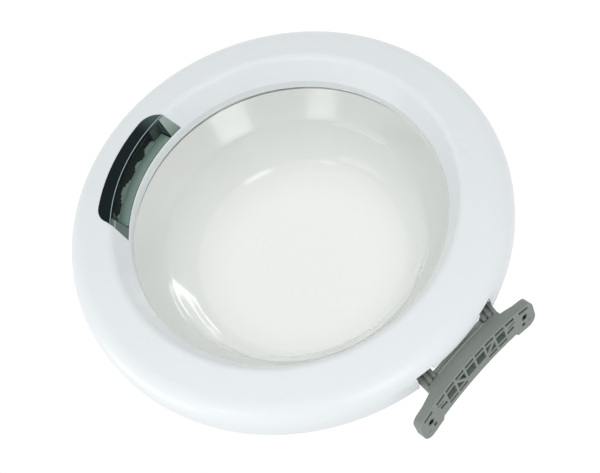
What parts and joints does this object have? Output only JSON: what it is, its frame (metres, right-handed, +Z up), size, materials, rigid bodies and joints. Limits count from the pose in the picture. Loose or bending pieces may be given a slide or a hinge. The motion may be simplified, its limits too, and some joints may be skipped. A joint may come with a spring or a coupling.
{
  "type": "washing machine door",
  "caption": "Front-loading washing machine door with a white ring, a clear glass bowl, a smoked recessed grip, a sprung latch hook and a grey ribbed hinge leaf",
  "frame": {"origin": "on the axis of the door, in the plane of the front ring's back edge, where the door closes on the machine's rubber boot", "axes": "X to the right and Z up on a closed door seen from the front, the front faces -Y and the glass bowl bulges to +Y, into the drum"},
  "size_m": [0.4729, 0.1409, 0.45],
  "materials": {
    "white_plastic": "satin white moulding",
    "pale_plastic": "fine matt texture",
    "clear_glass": "clear pressed glass",
    "smoked_plastic": "polished smoked see-through plastic",
    "dark_plastic": "matt dark moulding",
    "grey_casting": "matt grey moulding",
    "zinc_steel": "zinc plated",
    "pin_steel": "ground steel",
    "spring_steel": "drawn spring wire",
    "bush_plastic": "plain bearing plastic"
  },
  "bodies": {
    "leaf": {"hinge_leaf": "grey_casting", "hinge_bush_upper": "bush_plastic", "hinge_bush_lower": "bush_plastic", "mount_sleeve_upper": "zinc_steel", "mount_sleeve_lower": "zinc_steel"},
    "door": {"front_ring": "white_plastic", "rear_ring": "pale_plastic", "rear_ring_screws": "zinc_steel", "glass_bowl": "clear_glass", "handle_grip": "smoked_plastic", "latch_holder": "dark_plastic", "latch_holder_screws": "zinc_steel", "latch_pin": "pin_steel", "latch_pin_clips": "pin_steel", "latch_spring": "spring_steel", "hinge_carrier": "zinc_steel", "hinge_carrier_screws": "zinc_steel", "hinge_pin_upper": "pin_steel", "hinge_pin_lower": "pin_steel"},
    "hook": {"latch_hook": "zinc_steel"}
  },
  "joints": [
    {"name": "door_hinge", "type": "hinge", "parent": "leaf", "child": "door", "pos_m": [-0.21, -0.0145, 0], "axis": [0, 0, -1], "range_deg": [-100, 10]},
    {"name": "latch_hook_swing", "type": "hinge", "parent": "door", "child": "hook", "pos_m": [0.18736, -0.015, 0.08069], "axis": [-0.3955, 0, 0.9184], "range_deg": [0, 12]}
  ]
}
